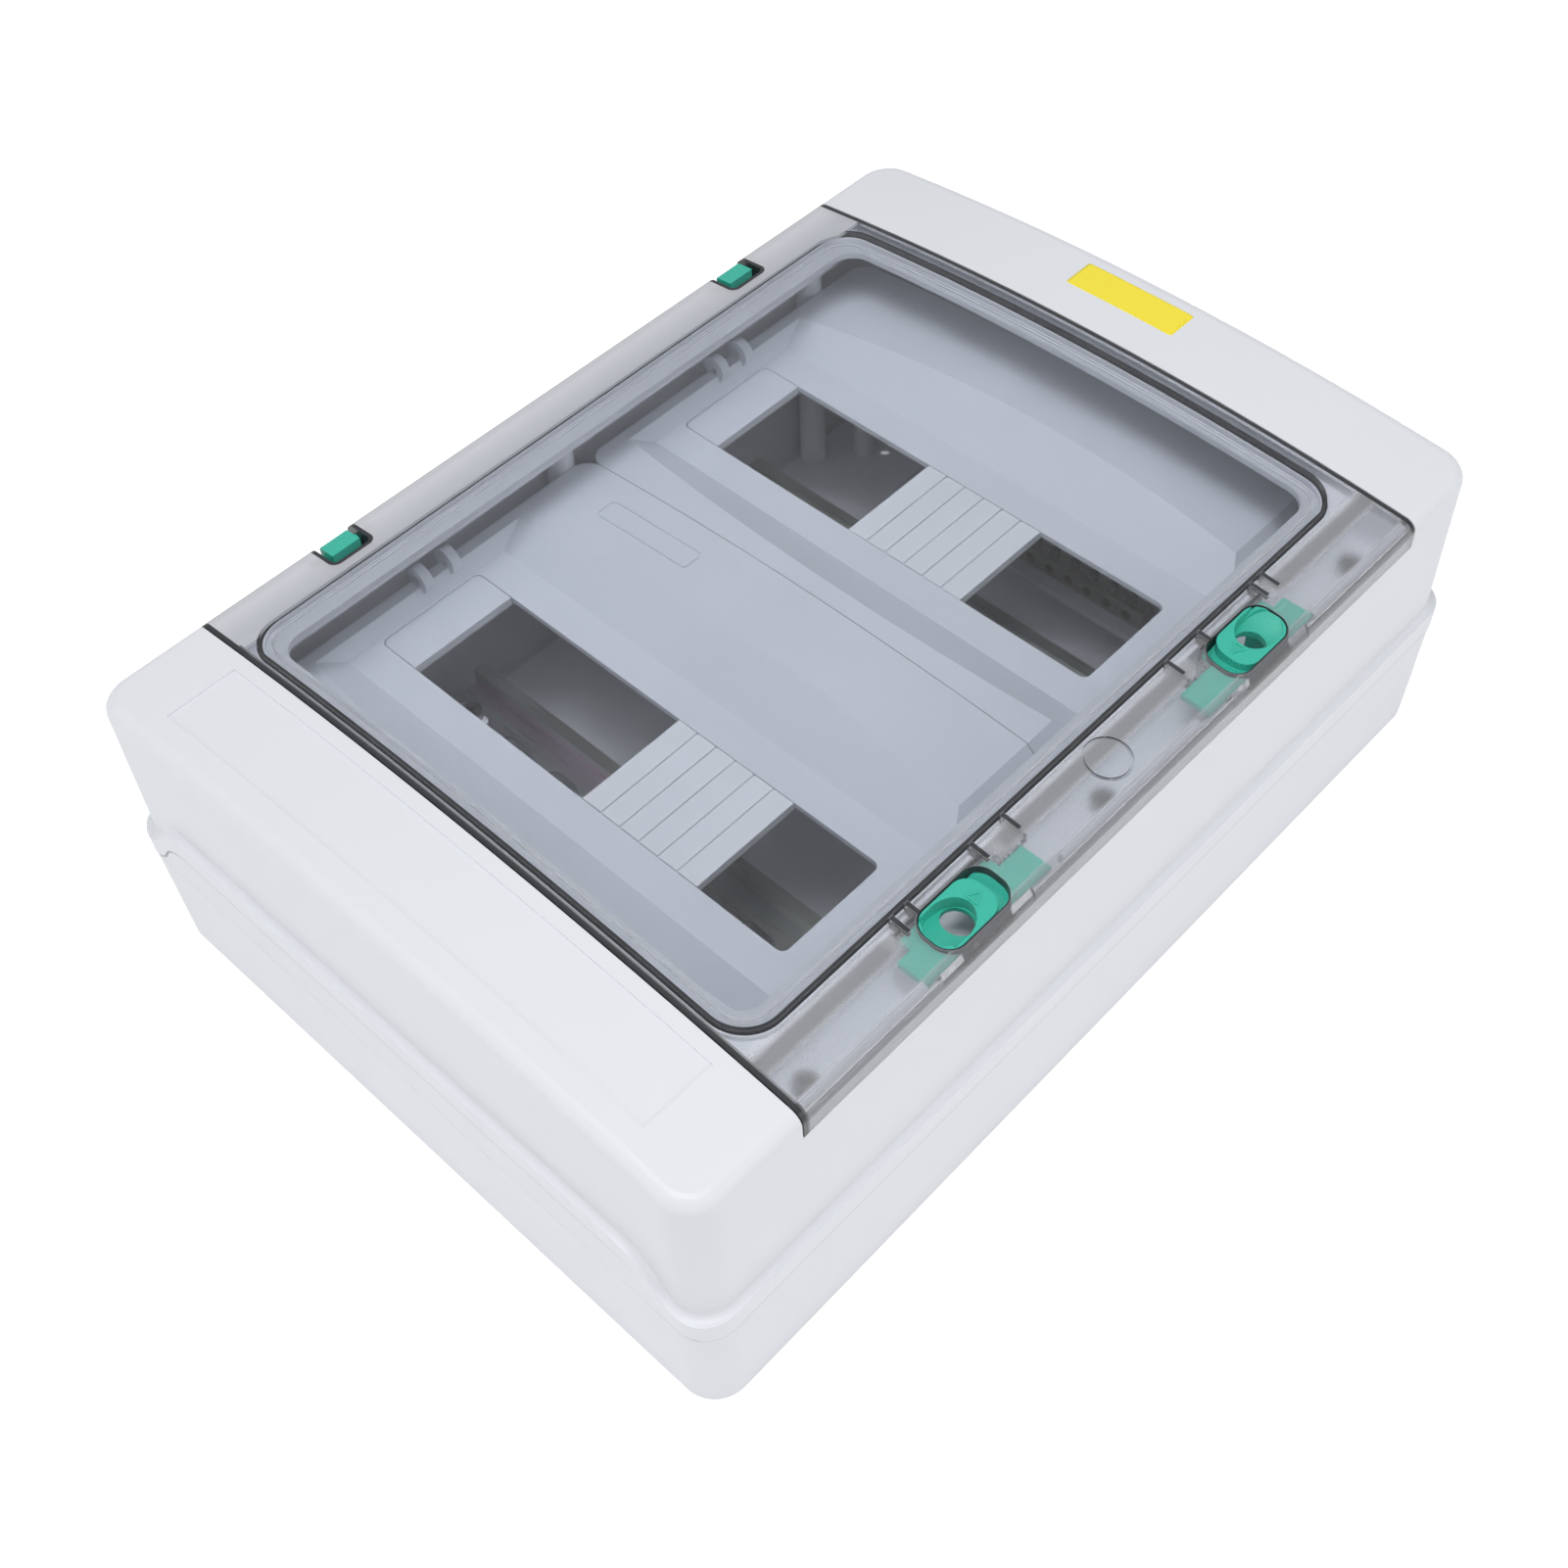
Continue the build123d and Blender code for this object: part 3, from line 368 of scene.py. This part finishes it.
# The clear rib is drawn near black: painted shade, like the door's edges and ribs.
rib_painted_dark, shader = new_material("rib_painted_dark", (0.035, 0.036, 0.040), 0.12, IOR=1.49)
maths = Maths(rib_painted_dark.node_tree)
flow = maths.object_place().noise(80.0, 2.0)
rib_dark_tone = flow.step(0.3, 0.7).blend((0.030, 0.031, 0.034, 1.0), (0.045, 0.046, 0.050, 1.0))
rib_dark_tone.feeds(shader, "Base Color")
(flow * 0.06 + 0.10).feeds(shader, "Roughness")

arch_radius = 1.22028
crown = 0.1345
millimetre = 0.001
channel_half = (0.11715, 0.149)    # half sizes of the middle line of the seal's channel


def arch_height(x):
    """Height of the arched front over a place across the box: a circle's arc under its crown."""
    return crown - arch_radius + np.sqrt(arch_radius**2 - x**2)


def new_piece(name, points, faces, material, body):
    """A smooth mesh at the origin, riding on a body."""
    mesh = bpy.data.meshes.new(name)
    mesh.from_pydata(points.reshape(-1, 3).tolist(), [], faces)
    mesh.polygons.foreach_set("use_smooth", np.ones(len(mesh.polygons), bool))
    mesh.materials.append(material)
    mesh.update()
    piece = bpy.data.objects.new(name, mesh)
    bpy.context.scene.collection.objects.link(piece)
    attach(piece, body)
    return piece


def ring_faces(rows, columns, joined=False, turned=False):
    """Four-cornered faces between rows of points, each row a closed ring. The last row is joined
    to the first, or else both ends are capped. turned faces them all the other way."""
    last = rows - 1
    i, j = np.meshgrid(np.arange(rows if joined else last), np.arange(columns), indexing="ij")
    here, ahead, beside = i * columns, (i + 1) % rows * columns, (j + 1) % columns
    faces = np.stack([here + j, ahead + j, ahead + beside, here + beside], -1).reshape(-1, 4)
    start, end = list(range(columns)), list(range(last * columns, rows * columns))
    caps = [] if joined else [start, end[::-1]]
    if turned:
        faces, caps = faces[:, [0, 3, 2, 1]], [cap[::-1] for cap in caps]
    return faces.tolist() + caps


def round_the_window(name, profile, material, body):
    """A closed section, given as outward offsets and depths below the arch in millimetres,
    carried along a rounded rectangle of four arcs and four straight runs."""
    middle, half = np.array(window_middle), np.array(channel_half)
    turn = np.linspace(0.0, np.pi / 2, 13)
    share = np.linspace(0.0, 1.0, 41)[1:-1, None]
    signs = ((1, 1), (-1, 1), (-1, -1), (1, -1))
    line, outward = [], []
    for k in range(4):
        out = np.stack([np.cos(turn + k * np.pi / 2), np.sin(turn + k * np.pi / 2)], 1)
        arc = middle + (half - window_corner) * signs[k] + window_corner * out
        after = middle + (half - window_corner) * signs[(k + 1) % 4] + window_corner * out[-1]
        line += [arc, arc[-1] + share * (after - arc[-1])]
        outward += [out, np.repeat(out[-1:], len(share), 0)]
    line, outward = np.concatenate(line), np.concatenate(outward)
    offset, depth = np.array(profile).T * millimetre
    flat = line[:, None] + outward[:, None] * offset[None, :, None]
    points = np.concatenate([flat, (arch_height(flat[..., 0]) - depth)[..., None]], -1)
    rows, columns = points.shape[:2]
    piece = new_piece(name, points, ring_faces(rows, columns, joined=True), material, body)
    piece.data.polygons.foreach_set("use_smooth", np.zeros(rows * columns, bool))
    return piece


foam = ((-0.95, 8.4), (0.95, 8.4), (0.95, 5.45), (0.7, 5.22), (0.35, 5.15), (-0.35, 5.15),
        (-0.7, 5.22), (-0.95, 5.45))
wall = ((0.97, 8.4), (1.24, 8.4), (1.24, 7.02), (1.75, 7.02), (1.75, 5.2), (1.6, 5.0),
        (1.1, 5.0), (0.97, 5.15))
rib_section = ((-0.3, 5.13), (0.3, 5.13), (0.5, 4.8), (0.5, 3.0), (-0.5, 3.0), (-0.5, 4.8))
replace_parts(round_the_window("seal_cord", foam, seal_foam, "enclosure"), "door_seal")
round_the_window("channel_outer_wall", wall, housing_plastic, "enclosure")
mirrored = [(-offset, depth) for offset, depth in wall[::-1]]
round_the_window("channel_inner_wall", mirrored, housing_plastic, "enclosure")
round_the_window("pressing_rib", rib_section, rib_painted_dark, "door")

# Hinge clips and latches: green mouldings, glossy outside and slightly uneven in
# tone. The thumb bowl of each latch is open to its outer end, and an oval opening
# goes down through its floor.
green_plastic = moulded("green_plastic", (0.045, 0.50, 0.375), (0.036, 0.465, 0.345), 0.28,
                        1400.0, 0.00001)
dress(green_plastic, "latch_lower", "latch_upper", "hinge_clip_lower", "hinge_clip_upper")
latch_x = 0.1275
latch_places = {"lower": -0.0691, "upper": 0.0739}
inward = {"lower": 1, "upper": -1}     # way along Y to the middle of the box
bowl_low = 0.12286
bowl_level_end = -0.0006               # along the latch, from here the floor climbs
bowl_bend = 0.026
merge_distance = 0.000002
crease_angle = math.radians(32)


def bowl_height(u):
    """Height of the bowl's floor along the latch: level under the thumb, then a circle's arc up to
    the outer end."""
    climb = np.minimum(u - bowl_level_end, 0.0)
    return bowl_low + bowl_bend - np.sqrt(bowl_bend**2 - climb**2)


def opening_height(u):
    """Height of the low end of the cut that goes through the latch, the same all along."""
    return np.full_like(u, 0.120)


def round_cutter(key, place, half_u, half_v, floor, top):
    """A closed drum on an oval: rings out over its floor and back over its lid, at shares of the
    way out."""
    turn = np.linspace(0.0, 2 * np.pi, 64, endpoint=False)
    out = np.array((0.05, 0.35, 0.7, 1.0, 1.0, 0.05))[:, None]
    on_floor = np.arange(len(out))[:, None] < 4
    u = place + half_u * out * np.cos(turn)
    v = half_v * out * np.sin(turn) * inward[key]
    z = np.where(on_floor, floor(u), top)
    points = np.stack([latch_x + v, latch_places[key] + inward[key] * u, z], -1)
    mesh = bpy.data.meshes.new("cutter")
    mesh.from_pydata(points.reshape(-1, 3).tolist(), [], ring_faces(*z.shape))
    cutter = bpy.data.objects.new("cutter", mesh)
    bpy.context.scene.collection.objects.link(cutter)
    return cutter


# Each latch shown is a copy of its solid, merged, with the bowl and the opening cut out.
for key in latch_places:
    mesh = nodes[f"latch_{key}"].data.copy()
    if "custom_normal" in mesh.attributes:
        mesh.attributes.remove(mesh.attributes["custom_normal"])
    shape = bmesh.new()
    shape.from_mesh(mesh)
    bmesh.ops.remove_doubles(shape, verts=shape.verts, dist=merge_distance)
    shape.to_mesh(mesh)
    shape.free()
    latch = bpy.data.objects.new(f"latch_{key}_open", mesh)
    bpy.context.scene.collection.objects.link(latch)
    cutters = [round_cutter(key, place=-0.0064, half_u=0.0093, half_v=0.0071,
                            floor=bowl_height, top=0.136),
               round_cutter(key, place=-0.0026, half_u=0.0050, half_v=0.0057,
                            floor=opening_height, top=0.1245)]
    for cutter in cutters:
        cut = latch.modifiers.new("cut", "BOOLEAN")
        cut.operation, cut.solver, cut.object = "DIFFERENCE", "EXACT", cutter
    bpy.context.view_layer.update()
    evaluated = latch.evaluated_get(bpy.context.evaluated_depsgraph_get())
    finished = bpy.data.meshes.new_from_object(evaluated)
    latch.modifiers.clear()
    latch.data = finished
    for cutter in cutters:
        bpy.data.objects.remove(cutter)
    finished.polygons.foreach_set("use_smooth", np.ones(len(finished.polygons), bool))
    finished.set_sharp_from_angle(angle=crease_angle)
    finished.materials.clear()
    finished.materials.append(green_plastic)
    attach(latch, f"latch_{key}")
    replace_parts(latch, f"latch_{key}")

# Latch springs: hard-drawn wire in seven turns, between each latch and its stop
# under the door.
spring_wire = turned_metal("spring_wire", (0.62, 0.62, 0.60), 0.26, (700.0, 700.0, 700.0))
spring_length = 0.0115
spring_turns = 7
spring_radius = 0.0018
wire_radius = 0.0003
stops = {"lower": -0.0361, "upper": 0.0484}


def coil(name, centre):
    """A ring of the wire's section carried along a helix. The rise is the way along plus a small
    sine, so the turns lie closest a quarter of the way from each end."""
    t = np.linspace(0.0, 1.0, 28 * spring_turns)
    turn = 2 * np.pi * spring_turns * t
    rise = spring_length * (t - 0.5 + 0.05 * np.sin(2 * np.pi * (2 * t - 1)))
    out = np.stack([np.cos(turn), np.zeros_like(t), np.sin(turn)], 1)
    line = spring_radius * out + centre
    line[:, 1] += rise
    along = np.gradient(line, axis=0)
    along /= np.linalg.norm(along, axis=1, keepdims=True)
    side = np.cross(along, out)
    ring = np.linspace(0.0, 2 * np.pi, 10, endpoint=False)[None, :, None]
    section = np.cos(ring) * out[:, None] + np.sin(ring) * side[:, None]
    points = line[:, None] + wire_radius * section
    faces = ring_faces(*points.shape[:2], turned=True)
    return new_piece(name, points, faces, spring_wire, "door")


for key, stop in stops.items():
    middle = np.mean(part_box(f"latch_spring_{key}"), axis=0)
    spring = coil(f"coil_{key}", middle)
    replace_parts(spring, f"latch_spring_{key}")
    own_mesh(spring)

# Door: one clear, lightly smoked moulding. It is polished over the window, inside
# the seal, and finely textured round it, smooth and milky along the hinge side and
# sparkling along the latches. Its edges and ribs are painted dark, as painted shade
# for the light that runs along inside, and shade seen through it is painted on too.
door_smoke, glass = new_material("door_smoke", (0.715, 0.73, 0.76), 0.03,
                                 Transmission_Weight=1.0, IOR=1.49)
tree = door_smoke.node_tree
maths = Maths(tree)
place = maths.object_place()
x, y, z = (place.part(k) for k in range(3))
facing = maths.add("ShaderNodeTexCoord", output=1)
facing_x, facing_y = (abs(facing.part(k)) for k in range(2))
arch_fall = 0.40974                    # the arch falls by this times x squared
door_middle = 0.0024
sheet_left, sheet_right = -0.1362, 0.1342
clip_places = (-0.0961, 0.1009)
gusset_places = (-0.0866, -0.0797, -0.0504, -0.0355, 0.1004, 0.0942, 0.0651, 0.0478)

from_seal = past_outline(place, (-0.00215, -0.00033), (0.11635, 0.1479), window_corner)
depth = crown - arch_fall * x * x - z
sheet = x.between(sheet_left, sheet_right, 0.0003)
textured = from_seal.step(0.0009, 0.0013) * (1 - x.step(0.1340, 0.1346))
hinge_strip = textured * (1 - x.step(-0.117, -0.115))
latch_strip = textured * x.step(0.100, 0.108)


def nearest(places):
    """Distance along the door to the nearest of some places."""
    found = abs(y - places[0])
    for other in places[1:]:
        found = found.below(abs(y - other))
    return found


# Dark lines painted round the openings for the latches and the notches for the hinge clips, as
# painted shade at their cut edges.
from_latch = nearest(list(latch_places.values()))
from_opening = rounded_distance(abs(x - latch_x), from_latch, (0.0017, 0.009), 0.0065)
from_notch = rounded_distance(x, nearest(clip_places), (-0.1269, 0.006), 0.002)
outline = (1 - from_notch.step(0.0014, 0.0017)) * (1 - x.step(-0.11, -0.10))
outline = outline.above((1 - from_opening.step(0.0003, 0.0006)) * x.step(0.10, 0.11))

# Cut edges and the ribs under the sheet, painted dark as shade, weaker at the far end.
deep = depth.step(0.0031, 0.0033)
near_share = 1 - 0.7 * (deep * y.step(0.148, 0.150))
cut_edge = facing_y.step(0.55, 0.8).above(facing_x.step(0.55, 0.8) * sheet) * near_share
end_rib = abs(y - door_middle).step(0.1521, 0.1524)
rib = (deep * sheet * (1 - x.step(0.1187, 0.1190))).above(end_rib) * near_share
rib = rib.above(0.8 * (1 - y.step(-0.1494, -0.1490)) * x.step(-0.1195, -0.1175))
gusset = 1 - nearest(gusset_places).step(0.0007, 0.0010)
rib = rib.above(gusset * x.between(0.1142, 0.1216, 0.0002))

# Painted shade on the rolled hinge edge, the flange along the latches and a line round
# the window, and a painted grey streak of shade from the trough's wall seen through the strip.
rolled_edge = facing_x.step(0.25, 0.52) * (1 - x.step(-0.1365, -0.1355)) * 0.6
flange = x.step(0.1348, 0.1353)
flange_line = x.between(sheet_right, 0.1350, 0.0001) * 0.45
# The line round the window is painted shade from the channel's inner wall.
window_line = from_seal.between(-0.0047, -0.0041, 0.00015) * 0.5
speck = place.noise(2600.0, 2.0, Roughness=0.6)
# The streak is painted shade: the trough's wall as seen through the strip.
streak = x.step(0.1140, 0.1192) * (1 - x.step(0.1222, 0.1248)) * latch_strip
streak = streak * from_latch.step(0.018, 0.028) * (0.44 + 0.22 * speck.step(0.35, 0.65))
dark = cut_edge.above(rib).above(outline).above(rolled_edge).above(flange_line).above(window_line)
dark = (dark * 0.85).above(streak)

ripple = place.noise(22.0, 1.0)
(0.025 + 0.10 * textured + 0.2 * hinge_strip + 0.01 * ripple).feeds(glass, "Roughness")
relief = speck * latch_strip + 0.2 * speck * hinge_strip
relief.bump(0.00005).feeds(glass, "Normal")

solid = tree.nodes.new("ShaderNodeBsdfPrincipled")
solid.inputs["Roughness"].default_value = 0.32
solid.inputs["IOR"].default_value = 1.49
sparkle = latch_strip * (0.06 + 0.10 * speck.step(0.44, 0.64))
milk = hinge_strip * 0.78 + sparkle + 0.30 * flange
# Painted shade across the hinge strip: lighter at its rolled edge, darker in towards the seal.
tone = x.step(-0.137, -0.121).blend((0.735, 0.745, 0.79, 1.0), (0.56, 0.575, 0.615, 1.0))
tone = x.step(-0.05, 0.05).blend(tone, (0.80, 0.81, 0.84, 1.0))
# The flange is painted a dark grey, as shade.
tone = flange.blend(tone, (0.40, 0.40, 0.42, 1.0))
# Where the painted shade mask is strong, the door turns near black.
tone = (dark * 1.3 - 0.1).above(0.0).below(1.0).blend(tone, (0.030, 0.032, 0.036, 1.0))
tone.feeds(solid, "Base Color")


def mixed(factor, first, second):
    """Mixes two shaders by a value."""
    mix = tree.nodes.new("ShaderNodeMixShader")
    for socket, end in zip(mix.inputs, (factor.socket, first, second)):
        tree.links.new(end, socket)
    return mix.outputs[0]


clear = tree.nodes.new("ShaderNodeBsdfTransparent")
clear.inputs["Color"].default_value = (0.93, 0.94, 0.96, 1.0)
shadow_ray = maths.add("ShaderNodeLightPath", output=1)
door_look = mixed((milk + dark).below(1.0), glass.outputs[0], solid.outputs[0])
door_look = mixed(shadow_ray, door_look, clear.outputs[0])
tree.links.new(door_look, tree.nodes["Material Output"].inputs["Surface"])
dress(door_smoke, "door")

# Label: a blank yellow vinyl sheet with rounded corners, pressed onto the arched
# front at the top end of the cover.
label_vinyl, shader = new_material("label_vinyl", (0.97, 0.81, 0.045), 0.34)
maths = Maths(label_vinyl.node_tree)
fibre = maths.object_place().noise(1500.0, 3.0)
vinyl = fibre.step(0.3, 0.7).blend((0.955, 0.79, 0.040, 1.0), (0.98, 0.83, 0.055, 1.0))
vinyl.feeds(shader, "Base Color")
fibre.bump(0.00001).feeds(shader, "Normal")
label_left, label_right = -0.027, 0.022
label_low, label_high = 0.1736, 0.1882
label_corner = 0.0012
label_thick = 0.00005
highest = 0.134499                     # just under the crown, so that the box keeps its height


def arched_sheet(name, material):
    """A rounded rectangle laid on the arch: rows across it end on its corner arcs, its rim turns
    down, and a second grid closes it from below."""
    v = u = np.linspace(-1.0, 1.0, 41)
    half_x, half_y = (label_right - label_left) / 2, (label_high - label_low) / 2
    past = np.clip(np.abs(v) * half_y - (half_y - label_corner), 0.0, label_corner)
    reach = half_x - label_corner + np.sqrt(label_corner**2 - past**2)
    px = (label_left + label_right) / 2 + reach[:, None] * u[None, :]
    py = np.repeat(((label_low + label_high) / 2 + half_y * v)[:, None], len(u), 1)
    px, py = (np.pad(value, 1, mode="edge") for value in (px, py))
    lift = np.pad(np.full((len(v), len(u)), label_thick), 1, constant_values=-label_thick)
    points = np.stack([px, py, np.minimum(arch_height(px) + lift, highest)], -1)
    top = np.arange(px.size).reshape(px.shape)
    under = top.copy()
    under[1:-1, 1:-1] = px.size + np.arange(v.size * u.size).reshape(v.size, u.size)
    below = points[1:-1, 1:-1] - (0.0, 0.0, 2 * label_thick)
    points = np.concatenate([points.reshape(-1, 3), below.reshape(-1, 3)])
    quads = [(top[:-1, :-1], top[:-1, 1:], top[1:, 1:], top[1:, :-1]),
             (under[:-1, :-1], under[1:, :-1], under[1:, 1:], under[:-1, 1:])]
    faces = np.concatenate([np.stack(quad, -1).reshape(-1, 4) for quad in quads]).tolist()
    return new_piece(name, points, faces, material, "enclosure")


arched_sheet("blank_label", label_vinyl)

bpy.context.scene.view_settings.view_transform = "Standard"
